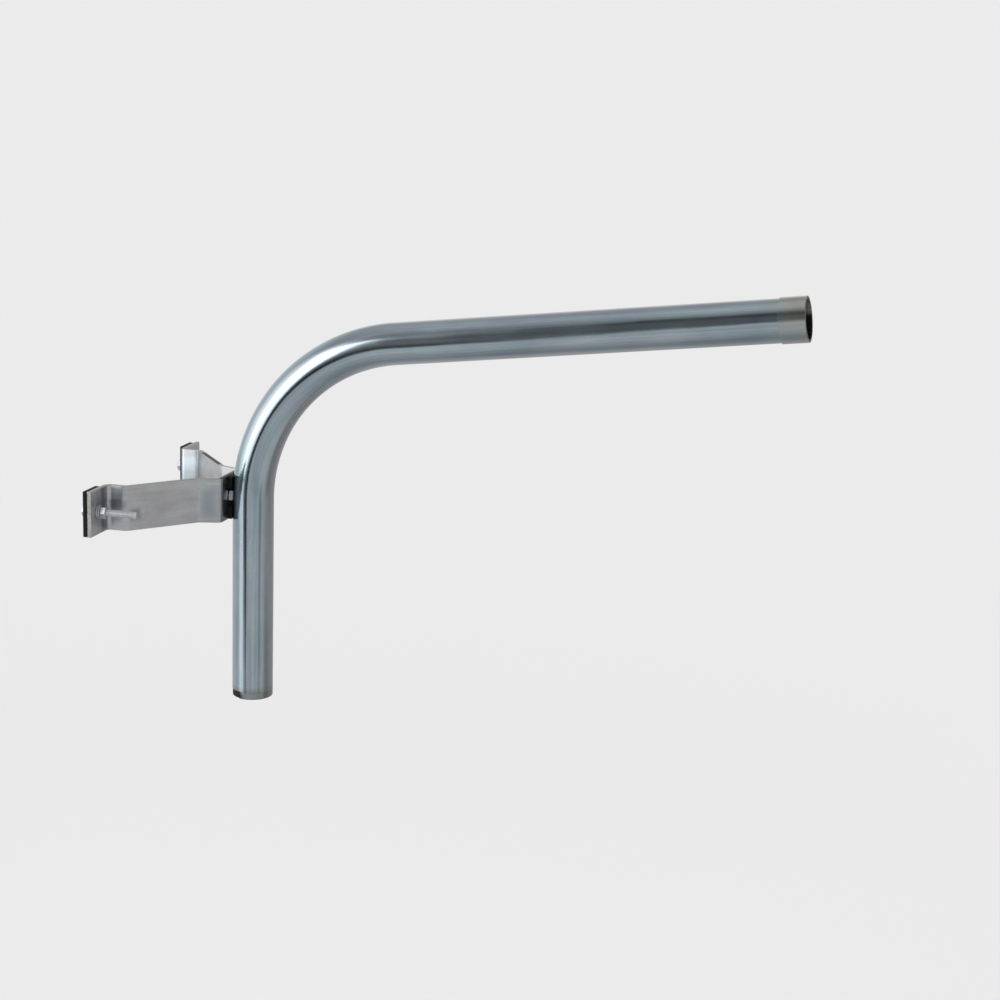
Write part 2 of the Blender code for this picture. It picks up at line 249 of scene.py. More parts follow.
STREAK_NOISE = {"scale": 260, "stretch": (0.02, 1, 1), "detail": 4.0, "roughness": 0.6}
CLOUD_NOISE = {"stretch": (0.55, 1, 1), "detail": 4.0, "roughness": 0.6}
SPECK_NOISE = {"scale": 1400, "stretch": (0.6, 1, 1), "detail": 2.0, "roughness": 0.5}
SCRATCH_NOISE = {"scale": 90, "stretch": (0.06, 1, 1), "detail": 1.0, "roughness": 0.4}
HUE_NOISE = {"scale": 70, "stretch": (0.4, 1, 1), "detail": 2.0, "roughness": 0.5}
WAVE_NOISE = {"scale": 24, "stretch": (0.45, 1, 1), "detail": 1.5, "roughness": 0.5}
SCRATCH_TONE = (0.7, 0.72, 0.74)
SCRATCH_HALF_WIDTH = 0.006
SCRATCH_SHARE = 0.10


def zinc(name, light, dark, roughness, rough_swing=0.06, streak=0.5, cloud=22.0,
         bump_strength=0.05, wave=0.0, patches=(), hues=1.0):
    """Zinc plate: drawn streaks along the grain, cloudy tone, fine scratches."""
    material, tree, shader, grain = new_material(name)
    streaks = noise(tree, grain, **STREAK_NOISE)
    clouds = noise(tree, grain, cloud, **CLOUD_NOISE)
    specks = noise(tree, grain, **SPECK_NOISE)
    off_scratch = math_node(
        tree, "ABSOLUTE", subtract(tree, noise(tree, grain, **SCRATCH_NOISE), 0.5))
    scratch = spread(tree, off_scratch, 0.0, SCRATCH_HALF_WIDTH, 1.0, 0.0)
    tone = add(tree, multiply(tree, clouds, 1 - streak), multiply(tree, streaks, streak))
    colour = mix_colour(tree, spread(tree, tone, 0.36, 0.64), dark, light)
    hue = mix_colour(tree, spread(tree, noise(tree, grain, **HUE_NOISE), 0.35, 0.65),
                     (1 - 0.03 * hues, 1 + 0.02 * hues, 1 - 0.02 * hues),
                     (1 + 0.05 * hues, 1 - 0.03 * hues, 1 + 0.04 * hues))
    colour = mix_colour(tree, 1.0, colour, hue, "MULTIPLY")
    fine = spread(tree, specks, 0.3, 0.7, 0.0, 0.22)
    colour = mix_colour(tree, fine, colour, dimmed(dark, 0.8))
    colour = mix_colour(tree, multiply(tree, scratch, SCRATCH_SHARE), colour, SCRATCH_TONE)
    # Patches: tints on the tube and sleeve; painted light and shade on the bore, strap, cut edges
    # and band
    for tint, low, high, soft in patches:
        stain_and_painted_light = mix_colour(tree, fine, tint, dimmed(tint, 0.7))
        mask = patch_mask(tree, grain, low, high, soft, clouds)
        colour = mix_colour(tree, mask, colour, stain_and_painted_light)
    tree.links.new(colour, shader.inputs["Base Color"])
    wear = add(tree, multiply(tree, streaks, 0.5), multiply(tree, clouds, 0.5))
    rough = spread(tree, wear, 0.35, 0.65, roughness - rough_swing, roughness + rough_swing)
    tree.links.new(rough, shader.inputs["Roughness"])
    shader.inputs["Metallic"].default_value = 1.0
    height = add(tree, streaks, multiply(tree, specks, 0.3))
    fine_bump = bump(tree, shader, height, bump_strength, 0.0004)
    if wave:
        bump(tree, fine_bump, noise(tree, grain, **WAVE_NOISE), 1.0, wave)
    return material


def rubber(name, tone, roughness):
    """Black rubber or plastic with a fine texture and a little dust."""
    material, tree, shader, grain = new_material(name)
    fine = noise(tree, grain, 1900, detail=2.0)
    clouds = noise(tree, grain, 120, detail=3.0)
    dust = spread(tree, clouds, 0.5, 0.78, 0.0, 0.35)
    shader.inputs["Specular IOR Level"].default_value = 0.16
    colour = mix_colour(tree, dust, (tone, tone, tone * 1.04), (tone * 2.6, tone * 2.6, tone * 2.7))
    tree.links.new(colour, shader.inputs["Base Color"])
    tree.links.new(spread(tree, fine, 0.3, 0.7, roughness - 0.08, roughness + 0.1),
                   shader.inputs["Roughness"])
    bump(tree, shader, fine, 0.25, 0.0003)
    return material


# Tinted patches: tint, low and high corner in grain coordinates, and half the width of the soft
# edge. The tube's and the sleeve's tint the metal; the others are painted light and shade.
# The first grain coordinate runs along the tube from its foot, along the strap from the front
# flange's end, and along the axis of the sleeve and of the band.
WIDE = 1.0
TUBE_STAINS = (
    ((0.235, 0.268, 0.272), (-WIDE, -WIDE, -WIDE), (0.0045, WIDE, WIDE), 0.0025),
    ((0.280, 0.315, 0.310), (PATH_LENGTH - 0.042, -WIDE, -WIDE), (WIDE, -0.004, WIDE), 0.010))
# Painted light: lighter grey on the upper inside of the bore near the lamp end
BORE_PAINTED_LIGHT = (
    ((0.42, 0.42, 0.39), (PATH_LENGTH - 0.30, -WIDE, -WIDE), (WIDE, -0.004, WIDE), 0.005),)
SLEEVE_STAINS = (
    ((0.285, 0.330, 0.345), (-WIDE, -WIDE, -WIDE), (-0.020, WIDE, WIDE), 0.006),
    ((0.275, 0.312, 0.325), (-WIDE, 0.004, -WIDE), (WIDE, WIDE, WIDE), 0.004))
# Painted light and shade on the strap: a lighter front flange end, painted shade where the front
# flange bends, a painted shadow of the front bolt on the slant, painted shade on the front leg by
# the saddle and on the rear leg by the tube, a dark band that paints out the highlight on the rear
# bend, and a painted highlight on the rear short end.
STRAP_PAINTED_LIGHT_AND_SHADE = (
    ((0.42, 0.44, 0.45), (0.002, -WIDE, 0), (0.014, WIDE, WIDE), 0.003),
    ((0.20, 0.205, 0.21), (0.026, -WIDE, 0), (0.034, WIDE, WIDE), 0.003),
    ((0.235, 0.25, 0.26), (0.070, -0.014, 0), (0.082, 0.000, WIDE), 0.003),
    ((0.255, 0.280, 0.315), (0.160, -0.020, 0), (0.176, 0.014, WIDE), 0.006),
    ((0.260, 0.265, 0.27), (0.232, -WIDE, -WIDE), (0.2585, WIDE, 0), 0.002),
    ((0.150, 0.165, 0.17), (0.3475, -WIDE, -WIDE), (0.3545, WIDE, 0), 0.0018),
    ((0.47, 0.53, 0.57), (0.3545, -0.022, -WIDE), (0.376, 0.016, 0), 0.005))
# Painted dark reflection: black bands on the top cut edges of the rear slant and the web
EDGE_PAINTED_REFLECTION = (
    ((0.02, 0.02, 0.02), (0.268, 0.02, -WIDE), (0.336, WIDE, WIDE), 0.002),
    ((0.03, 0.03, 0.03), (0.180, 0.02, -WIDE), (0.222, WIDE, WIDE), 0.002))
# Painted shade: the band fades to black towards the open notch on the pole side
BAND_PAINTED_SHADE = (
    ((0.02, 0.02, 0.02), (-WIDE, -WIDE, -WIDE), (WIDE, -0.0045, WIDE), 0.0032),)

TUBE_ZINC = zinc(
    "tube_zinc", (0.330, 0.390, 0.422), (0.208, 0.262, 0.296), 0.13, rough_swing=0.04,
    streak=0.5, cloud=18.0, bump_strength=0.12, wave=0.0006, patches=TUBE_STAINS, hues=0.8)
# Painted shade: the bore is near black, standing in for the unlit inside of the tube
BORE_PAINTED_SHADE = zinc(
    "bore_painted_shade", (0.022, 0.023, 0.024), (0.010, 0.011, 0.012), 0.5, rough_swing=0.08,
    streak=0.3, cloud=30.0, bump_strength=0.05, patches=BORE_PAINTED_LIGHT)
SLEEVE_ZINC = zinc(
    "sleeve_zinc", (0.325, 0.345, 0.320), (0.255, 0.275, 0.252), 0.16, rough_swing=0.04,
    streak=0.3, cloud=30.0, bump_strength=0.10, patches=SLEEVE_STAINS, hues=0.3)
STRAP_ZINC = zinc(
    "strap_zinc", (0.412, 0.430, 0.440), (0.272, 0.287, 0.295), 0.36, rough_swing=0.08,
    streak=0.35, cloud=40.0, bump_strength=0.10, wave=0.00010, patches=STRAP_PAINTED_LIGHT_AND_SHADE, hues=0.35)
CUT_EDGE = zinc(
    "cut_edge", (0.40, 0.40, 0.375), (0.24, 0.24, 0.225), 0.42, rough_swing=0.06,
    streak=0.6, cloud=60.0, bump_strength=0.2, patches=EDGE_PAINTED_REFLECTION)
BOLT_ZINC = zinc(
    "bolt_zinc", (0.60, 0.63, 0.65), (0.44, 0.47, 0.49), 0.30, rough_swing=0.07,
    streak=0.3, cloud=120.0, hues=0.3)
THREAD_ZINC = zinc(
    "thread_zinc", (0.65, 0.68, 0.70), (0.50, 0.53, 0.55), 0.42, rough_swing=0.07,
    streak=0.3, cloud=150.0, hues=0.3)
# Painted shade: the lamp end's chamfers and end face are darkened to take out their highlight
END_PAINTED_SHADE = zinc(
    "end_painted_shade", (0.10, 0.105, 0.10), (0.06, 0.064, 0.06), 0.45, rough_swing=0.08,
    streak=0.3, cloud=90.0)
RUBBER = rubber("black_rubber", 0.006, 0.7)
# Painted shade: the core's black stands in for the unlit inside of the bush
SHADE_BLACK_CORE = rubber("painted_shade_core", 0.006, 0.6)
BAND = zinc(
    "band_grey", (0.235, 0.268, 0.272), (0.160, 0.188, 0.192), 0.16, rough_swing=0.05,
    streak=0.3, cloud=90.0, bump_strength=0.08, patches=BAND_PAINTED_SHADE)


# Mesh building
def store_grain(mesh, grains):
    """Stores each vertex's grain coordinate, from a list or worked out from its place."""
    attribute = mesh.attributes.get("grain")
    if attribute is None:
        attribute = mesh.attributes.new("grain", "FLOAT_VECTOR", "POINT")
    flat = []
    for vertex in mesh.vertices:
        flat.extend(grains(vertex.co) if callable(grains) else grains[vertex.index])
    attribute.data.foreach_set("vector", flat)


def finish_mesh(name, shell, grains, body, replaced, materials, sharp=30):
    """Makes the object and ties it to its body; without grains, a cut stores them later."""
    bmesh.ops.recalc_face_normals(shell, faces=shell.faces)
    mesh = bpy.data.meshes.new(name)
    shell.to_mesh(mesh)
    shell.free()
    if grains is not None:
        store_grain(mesh, grains)
    mesh.shade_smooth()
    mesh.set_sharp_from_angle(angle=radians(sharp))
    for material in materials:
        mesh.materials.append(material)
    item = bpy.data.objects.new(name, mesh)
    bpy.context.scene.collection.objects.link(item)
    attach(item, body)
    if replaced:
        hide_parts(replaced)
    return item


def cut(item, tools, grain_of, rounding=None):
    """Cuts closed shells out of an item, rounds its edges if asked, and stores the grain anew."""
    cutters = []
    for shell in tools:
        bmesh.ops.recalc_face_normals(shell, faces=shell.faces)
        mesh = bpy.data.meshes.new(item.name + "_cut")
        shell.to_mesh(mesh)
        shell.free()
        cutter = bpy.data.objects.new(item.name + "_cut", mesh)
        bpy.context.scene.collection.objects.link(cutter)
        modifier = item.modifiers.new("cut", "BOOLEAN")
        modifier.object = cutter
        modifier.solver = "EXACT"
        cutters.append(cutter)
    if rounding:
        bevel = item.modifiers.new("round", "BEVEL")
        bevel.width = rounding
        bevel.segments = 3
        bevel.limit_method = "ANGLE"
        bevel.angle_limit = radians(50)
    bpy.context.view_layer.update()
    graph = bpy.context.evaluated_depsgraph_get()
    mesh = bpy.data.meshes.new_from_object(item.evaluated_get(graph))
    item.modifiers.clear()
    item.data = mesh
    for cutter in cutters:
        bpy.data.objects.remove(cutter, do_unlink=True)
    store_grain(mesh, grain_of)
    return mesh


def bridge(shell, rings, closed=False):
    """Faces between each ring of vertices and the next; closed joins the last to the first."""
    pairs = list(zip(rings, rings[1:]))
    if closed:
        pairs.append((rings[-1], rings[0]))
    faces = []
    for first, second in pairs:
        for index in range(len(first)):
            after = (index + 1) % len(first)
            corners = (first[index], first[after], second[after], second[index])
            faces.append(shell.faces.new(corners))
    return faces


def cap(shell, rings):
    """Faces that close the first and the last ring."""
    return shell.faces.new(rings[0]), shell.faces.new(list(reversed(rings[-1])))


def polar(radius, angle, height):
    return Vector((radius * cos(angle), radius * sin(angle), height))


def lathe(shell, profile, sides, place, grains=None, closed=True):
    """Rings of a profile (radius, height) about the local z axis, moved by place."""
    rings = []
    for radius, height in profile:
        ring = []
        for index in range(sides):
            point = polar(radius, 2 * pi * index / sides, height)
            ring.append(shell.verts.new(place @ point))
            if grains is not None:
                grains.append(tuple(point))
        rings.append(ring)
    bridge(shell, rings, closed)
    return rings


def drill(radius, low, high, place, sides=48):
    """Closed cylinder shell that cuts a round hole."""
    shell = bmesh.new()
    cap(shell, lathe(shell, [(radius, low), (radius, high)], sides, place, closed=False))
    return shell


def along_x(x, y=0.0):
    """Place whose local z axis runs along X."""
    return Matrix.Translation((x, y, 0)) @ Matrix.Rotation(radians(90), 4, "Y")


def path_point(distance):
    """Centre and direction of the tube at a distance from its foot."""
    if distance <= POST_LENGTH:
        return Vector((TUBE_X, 0, TUBE_FOOT_Z + distance)), Vector((0, 0, 1))
    if distance <= BEND_END:
        angle = (distance - POST_LENGTH) / BEND_RADIUS
        centre = BEND_CENTRE + BEND_RADIUS * Vector((-cos(angle), 0, sin(angle)))
        return centre, Vector((sin(angle), 0, cos(angle)))
    centre = BEND_CENTRE + BEND_RADIUS * Vector((-cos(BEND_TURN), 0, sin(BEND_TURN)))
    return centre + ARM_DIRECTION * (distance - BEND_END), ARM_DIRECTION


def inner_side(direction):
    """Points from the tube's centre to the inside of its bend."""
    return Vector((direction.z, 0, -direction.x))


def tube_ring(shell, distance, radius):
    """Ring of vertices about the tube's centre at a distance from its foot."""
    centre, direction = path_point(distance)
    side = inner_side(direction)
    ring = []
    for index in range(RING_SIDES):
        angle = 2 * pi * index / RING_SIDES
        offset = side * cos(angle) + Vector((0, 1, 0)) * sin(angle)
        ring.append(shell.verts.new(centre + offset * radius))
    return ring


def tube_grain(point):
    """Distance from the foot, and the place in the tube's section, of a point of the tube."""
    arm_start, direction = path_point(BEND_END)
    beyond = (point - arm_start).dot(direction)
    if point.z <= BEND_START_Z:
        distance = point.z - TUBE_FOOT_Z
    elif beyond >= 0:
        distance = BEND_END + beyond
    else:
        turned = atan2(point.z - BEND_CENTRE.z, BEND_CENTRE.x - point.x)
        distance = POST_LENGTH + BEND_RADIUS * turned
    centre, direction = path_point(min(max(distance, 0.0), PATH_LENGTH))
    offset = point - centre
    return distance, offset.dot(inner_side(direction)), offset.y


def make_tube():
    """Bent tube with a bore, chamfered ends and a round hole for the weld nut."""
    stops = [POST_LENGTH * k / POST_STEPS for k in range(1, POST_STEPS)]
    stops += [POST_LENGTH + BEND_LENGTH * k / BEND_STEPS for k in range(BEND_STEPS + 1)]
    stops += [BEND_END + ARM_STRAIGHT * k / ARM_STEPS for k in range(1, ARM_STEPS)]
    chamfer = TUBE_CHAMFER
    outer = [(0, TUBE_RADIUS - chamfer / 4), (chamfer / 4, TUBE_RADIUS)]
    outer += [(stop, TUBE_RADIUS) for stop in stops]
    outer += [(PATH_LENGTH - chamfer, TUBE_RADIUS), (PATH_LENGTH, TUBE_RADIUS - chamfer)]
    inner = [(PATH_LENGTH, BORE_RADIUS + chamfer), (PATH_LENGTH - chamfer, BORE_RADIUS)]
    inner += [(stop, BORE_RADIUS) for stop in reversed(stops)]
    inner += [(chamfer, BORE_RADIUS), (0, BORE_RADIUS + chamfer)]
    shell = bmesh.new()
    rings = [tube_ring(shell, distance, radius) for distance, radius in outer + inner]
    # The lamp end's chamfers and face, and the bore, take the painted shade materials
    lamp_end_rows = (len(outer) - 2, len(outer) - 1, len(outer))
    for index, face in enumerate(bridge(shell, rings, closed=True)):
        row = index // RING_SIDES
        face.material_index = 2 if row in lamp_end_rows else int(row >= len(outer))
    item = finish_mesh("arm_tube_skin", shell, None, "frame", "arm_tube",
                       [TUBE_ZINC, BORE_PAINTED_SHADE, END_PAINTED_SHADE])
    hole = FIXING_FLATS / sqrt(3) + CLEARANCE
    cut(item, [drill(hole, -0.002, TUBE_RADIUS, along_x(TUBE_FACE))], tube_grain)


def end_place(back):
    """Place at the lamp end whose local z axis runs out along the arm."""
    centre, direction = path_point(PATH_LENGTH)
    turned = Matrix.Rotation(pi / 2 - ARM_TILT, 4, "Y")
    return Matrix.Translation(centre - direction * back) @ turned


def make_sleeve():
    """Thin sleeve round the lamp end."""
    shell = bmesh.new()
    inner = TUBE_RADIUS + CLEARANCE
    outer = inner + SLEEVE_WALL
    profile = [(outer - THIN_LIP, 0), (outer, -THIN_LIP)]
    profile += [(outer, -SLEEVE_LENGTH * k / 10) for k in range(1, 10)]
    profile += [(outer, -SLEEVE_LENGTH + THIN_LIP), (outer - THIN_LIP, -SLEEVE_LENGTH),
                (inner, -SLEEVE_LENGTH), (inner, 0)]
    grains = []
    lathe(shell, profile, RING_SIDES, end_place(CLEARANCE), grains)
    grains = [(z, x, y) for x, y, z in grains]
    finish_mesh("arm_end_band", shell, grains, "frame", "arm_end_sleeve",
                [SLEEVE_ZINC])


def make_bush():
    """Black core with a cable hole, whose black is painted shade for the unlit inside, and a grey
    band that is open on the pole side.
    """
    place = Matrix.Translation((TUBE_X, 0, TUBE_FOOT_Z))
    foot = -CLEARANCE - BUSH_RIM_HEIGHT
    core, core_foot = TUBE_RADIUS - BAND_DEPTH, foot + CORE_RECESS
    skirt = BORE_RADIUS - CLEARANCE
    skirt_inside = skirt - SKIRT_WALL
    rounding = BUSH_ROUNDING
    profile = [(skirt - SKIRT_CHAMFER, SKIRT_LENGTH), (skirt, SKIRT_LENGTH - SKIRT_CHAMFER),
               (skirt, -CLEARANCE), (core, -CLEARANCE), (core, core_foot + rounding)]
    quarter = [pi / 2 * step / 5 for step in range(6)]
    for angle in quarter[1:]:
        profile.append((core - rounding + rounding * cos(angle),
                        core_foot + rounding - rounding * sin(angle)))
    for angle in quarter:
        profile.append((BUSH_HOLE + rounding - rounding * sin(angle),
                        core_foot + rounding - rounding * cos(angle)))
    profile += [(BUSH_HOLE, FUNNEL_LOW), (skirt_inside, FUNNEL_HIGH),
                (skirt_inside, SKIRT_LENGTH - SKIRT_CHAMFER),
                (skirt_inside + SKIRT_CHAMFER, SKIRT_LENGTH)]
    shell = bmesh.new()
    grains = []
    lathe(shell, profile, RING_SIDES, place, grains)
    finish_mesh("bush_core", shell, grains, "frame", "lower_end_bush", [SHADE_BLACK_CORE])

    inner, outer, top = core + 0.0001, TUBE_RADIUS, -0.00005
    band = [(outer - THIN_LIP, top), (outer, top - THIN_LIP), (outer, foot + 0.0012),
            (outer - 0.00035, foot + 0.00035), (outer - 0.0008, foot), (inner, foot + 0.0001),
            (inner, top)]
    shell = bmesh.new()
    steps = 72
    rings, grains = [], []
    for step in range(steps + 1):
        angle = -pi + BAND_NOTCH_HALF + (2 * pi - 2 * BAND_NOTCH_HALF) * step / steps
        ring = []
        for radius, height in band:
            point = polar(radius, angle, height)
            ring.append(shell.verts.new(place @ point))
            grains.append((height, point.x, point.y))
        rings.append(ring)
    bridge(shell, rings)
    cap(shell, rings)
    finish_mesh("bush_band", shell, grains, "frame", "lower_end_bush", [BAND])


def rounded_path(corners, radii):
    """Points of a flat path through the corners, with an arc at each inner one."""
    points = [corners[0]]
    for before, corner, after, radius in zip(corners, corners[1:], corners[2:], radii):
        to_before = (before - corner).normalized()
        to_after = (after - corner).normalized()
        half_angle = to_before.angle(to_after) / 2
        start = corner + to_before * (radius / tan(half_angle))
        middle = corner + (to_before + to_after).normalized() * (radius / sin(half_angle))
        across = (start - middle).normalized()
        along = -to_before
        for step in range(STRAP_BEND_STEPS + 1):
            angle = (pi - 2 * half_angle) * step / STRAP_BEND_STEPS
            points.append(middle + (across * cos(angle) + along * sin(angle)) * radius)
    points.append(corners[-1])
    return points


def make_strap():
    """Flat bar along its bent middle line, from the front flange's end to the rear one's."""
    corners = [Vector((x, y, 0)) for x, y in (
        (WEB_X, 0), (WEB_X, WEB_HALF), (SLANT_X, LEG_HALF), (END_X, MOUTH_HALF),
        (FLANGE_X, MOUTH_HALF), (FLANGE_X, SPAN_HALF))]
    front = rounded_path(corners, INNER_BENDS + [FRONT_FLANGE_BEND])
    rear = rounded_path(corners, INNER_BENDS + [REAR_FLANGE_BEND])
    path = [Vector((p.x, -p.y, 0)) for p in reversed(front[1:])] + rear
    last = len(path) - 1
    top, thick, edge = STRAP_HEIGHT / 2, STRAP_THICKNESS / 2, STRAP_EDGE
    section = []
    for sign_side, sign_top in ((1, 1), (-1, 1), (-1, -1), (1, -1)):
        corner = [(thick, top - edge), (thick - 0.3 * edge, top - 0.3 * edge), (thick - edge, top)]
        if sign_side * sign_top < 0:
            corner.reverse()
        section += [(sign_side * a, sign_top * b) for a, b in corner]
    shell = bmesh.new()
    rings = []
    for index, point in enumerate(path):
        before = path[max(index - 1, 0)]
        after = path[min(index + 1, last)]
        one = (point - before).normalized() if index else (after - point).normalized()
        two = (after - point).normalized() if index < last else one
        tangent = (one + two).normalized()
        side = Vector((tangent.y, -tangent.x, 0))
        stretch = 1 / max(0.5, tangent.dot(one))
        shrink = edge if index in (0, last) else 0.0
        ring = []
        for across, height in section:
            a = across - shrink * (1 if across > 0 else -1) * (abs(across) > thick - edge - 1e-9)
            b = height - shrink * (1 if height > 0 else -1)
            ring.append(shell.verts.new(point + side * (a * stretch) + Vector((0, 0, b))))
        rings.append(ring)
        if index in (0, last - 1):
            inward = (after - point).normalized() * edge
            base = point + inward if index == 0 else path[-1] - inward
            rings.append([shell.verts.new(base + side * across + Vector((0, 0, height)))
                          for across, height in section])
    for face in bridge(shell, rings):
        height = abs(sum(vertex.co.z for vertex in face.verts)) / 4
        face.material_index = 1 if height > top - 1.5 * edge else 0
    for face in cap(shell, rings):
        face.material_index = 1
    item = finish_mesh("clamp_strap_skin", shell, None, "frame", "clamp_strap",
                       [STRAP_ZINC, CUT_EDGE])
    lengths = [0.0]
    for before, after in zip(path, path[1:]):
        lengths.append(lengths[-1] + (after - before).length)

    def strap_grain(point):
        """Distance along the middle line, height, and distance to the side of the middle line."""
        best = None
        for before, after, start in zip(path, path[1:], lengths):
            along = (after - before).normalized()
            reach = min(max((point - before).dot(along), 0.0), (after - before).length)
            away = point - (before + along * reach)
            gap = hypot(away.x, away.y)
            if best is None or gap < best[0]:
                best = (gap, start + reach, away.x * along.y - away.y * along.x)
        return best[1], point.z, best[2]

    holes = [drill(FIXING_HOLE, -0.005, 0.005, along_x(WEB_X))]
    holes += [drill(CLAMP_HOLE, -0.005, 0.005, along_x(FLANGE_X, y)) for y in BOLT_Y.values()]
    cut(item, holes, strap_grain)


def block(name, low, high, rounding, body, replaced, hole=None, hollow=False):
    """Rounded rubber block, with a bolt hole or hollowed to the tube."""
    low, high = Vector(low), Vector(high)
    shell = bmesh.new()
    bmesh.ops.create_cube(shell, size=1)
    bmesh.ops.scale(shell, vec=high - low, verts=shell.verts)
    bmesh.ops.translate(shell, vec=(low + high) / 2, verts=shell.verts)
    item = finish_mesh(name, shell, None, body, replaced, [RUBBER])
    tools = []
    if hole is not None:
        tools.append(drill(CLAMP_HOLE, -0.02, 0.02, along_x(0, hole), 40))
    if hollow:
        near_tube = bmesh.new()
        rings = [tube_ring(near_tube, 0.18 + 0.006 * k, TUBE_RADIUS + CLEARANCE) for k in range(17)]
        bridge(near_tube, rings)
        cap(near_tube, rings)
        tools.append(near_tube)
    mesh = cut(item, tools, tuple, rounding)
    mesh.shade_smooth()
    mesh.set_sharp_from_angle(angle=radians(40))


def hexagon(shell, flats, low, high, bore, place, both_ends, grains, turn=0.0):
    """Hexagon head or nut between two heights, with rounded-off corners and a bore."""
    inscribed = flats / 2
    rings = []

    def reach(angle):
        local = (angle + pi / 6) % (pi / 3) - pi / 6
        return inscribed / cos(local)

    def ring(radius, height, slope=0):
        """Round ring, or one along the hexagon without a radius; slope bends its corners."""
        made = []
        for index in range(HEXAGON_SIDES):
            angle = 2 * pi * index / HEXAGON_SIDES
            size = radius if radius is not None else reach(angle)
            z = height + slope * max(0.0, reach(angle) - inscribed) * CORNER_SLOPE
            point = polar(size, angle + turn, z)
            made.append(shell.verts.new(place @ point))
            grains.append(tuple(point))
        rings.append(made)

    tip = 0.0005
    if bore:
        ring(bore, low + (BORE_CHAMFER if both_ends else 0))
        ring(bore + BORE_CHAMFER, low)
    else:
        ring(tip, low)
    ring(inscribed - CORNER_CHAMFER, low)
    ring(None, low + CORNER_CHAMFER, 1)
    ring(None, high - CORNER_CHAMFER, -1 if both_ends else 0)
    ring(inscribed - CORNER_CHAMFER if both_ends else None, high)
    if both_ends:
        ring(bore + BORE_CHAMFER, high)
        ring(bore, high - BORE_CHAMFER)
    else:
        ring(bore if bore else tip, high)
    bridge(shell, rings, closed=bool(bore))
    if not bore:
        cap(shell, rings)


def thread(shell, radius, pitch, low, high, place, grains):
    """Threaded rod: one helical groove, a plain run-in, a chamfered tip and flat ends."""
    depth = 0.61 * pitch
    crest_start, crest_end, root_end = 0.5, 0.625, 0.125
    rows = int((high - low) / pitch * THREAD_ROWS_PER_TURN)
    rings = []
    for row in range(rows + 1):
        height = low + (high - low) * row / rows
        tip = max(0.0, 1 - (high - height) / (pitch * 1.2))
        run_in = max(0.0, 1 - (height - low) / pitch)
        ring = []
        for index in range(THREAD_SIDES):
            phase = (height / pitch - index / THREAD_SIDES) % 1.0
            if phase < root_end:
                size = radius - depth
            elif phase < crest_start:
                size = radius - depth + depth * (phase - root_end) / (crest_start - root_end)
            elif phase < crest_end:
                size = radius
            else:
                size = radius - depth * (phase - crest_end) / (1 - crest_end)
            size = min(size, radius - tip * depth * 1.3)
            size = size * (1 - run_in) + (radius - depth * 0.2) * run_in
            point = polar(size, 2 * pi * index / THREAD_SIDES, height)
            ring.append(shell.verts.new(place @ point))
            grains.append(tuple(point))
        rings.append(ring)
    bridge(shell, rings)
    cap(shell, rings)


def make_bolt(name, body, replaced, underside, y, flats, head, radius, pitch, length):
    """Hexagon bolt along +X with a real helical thread over its shank."""
    shell = bmesh.new()
    grains = []
    place = along_x(underside, y)
    hexagon(shell, flats, -head, 0.0, None, place, False, grains)
    thread(shell, radius, pitch, -0.0005, length, place, grains)
    item = finish_mesh(name, shell, grains, body, replaced,
                       [BOLT_ZINC, THREAD_ZINC], 34)
    for face in item.data.polygons:
        on_shank = hypot(face.center.y - y, face.center.z) < radius + 0.0002
        face.material_index = int(on_shank and face.center.x > underside)


def make_nut(name, body, replaced, start, y, flats, height, radius, turn=0.0):
    """Hexagon nut along +X from start, turned about its axis."""
    shell = bmesh.new()
    grains = []
    hexagon(shell, flats, 0.0, height, radius, along_x(start, y), True, grains, turn)
    finish_mesh(name, shell, grains, body, replaced, [BOLT_ZINC], 34)


def make_washer(name, body, replaced, start, y, sizes, split=False):
    """Flat washer, or a spring washer with a split, along +X from start."""
    inner, outer, thickness = sizes
    lip = WASHER_LIP
    profile = [(inner + lip, 0), (outer - lip, 0), (outer, lip), (outer, thickness - lip),
               (outer - lip, thickness), (inner + lip, thickness), (inner, thickness - lip),
               (inner, lip)]
    shell = bmesh.new()
    place = along_x(start, y)
    grains = []
    if not split:
        lathe(shell, profile, WASHER_SIDES, place, grains)
    else:
        gap = HALF_SPLIT / outer
        rings = []
        for step in range(SPLIT_STEPS + 1):
            angle = pi + gap + (2 * pi - 2 * gap) * step / SPLIT_STEPS
            ring = []
            for radius, height in profile:
                point = polar(radius, angle, height)
                ring.append(shell.verts.new(place @ point))
                grains.append(tuple(point))
            rings.append(ring)
        bridge(shell, rings)
        cap(shell, rings)
    finish_mesh(name, shell, grains, body, replaced, [BOLT_ZINC], 34)


make_tube()
make_sleeve()
make_bush()
make_strap()

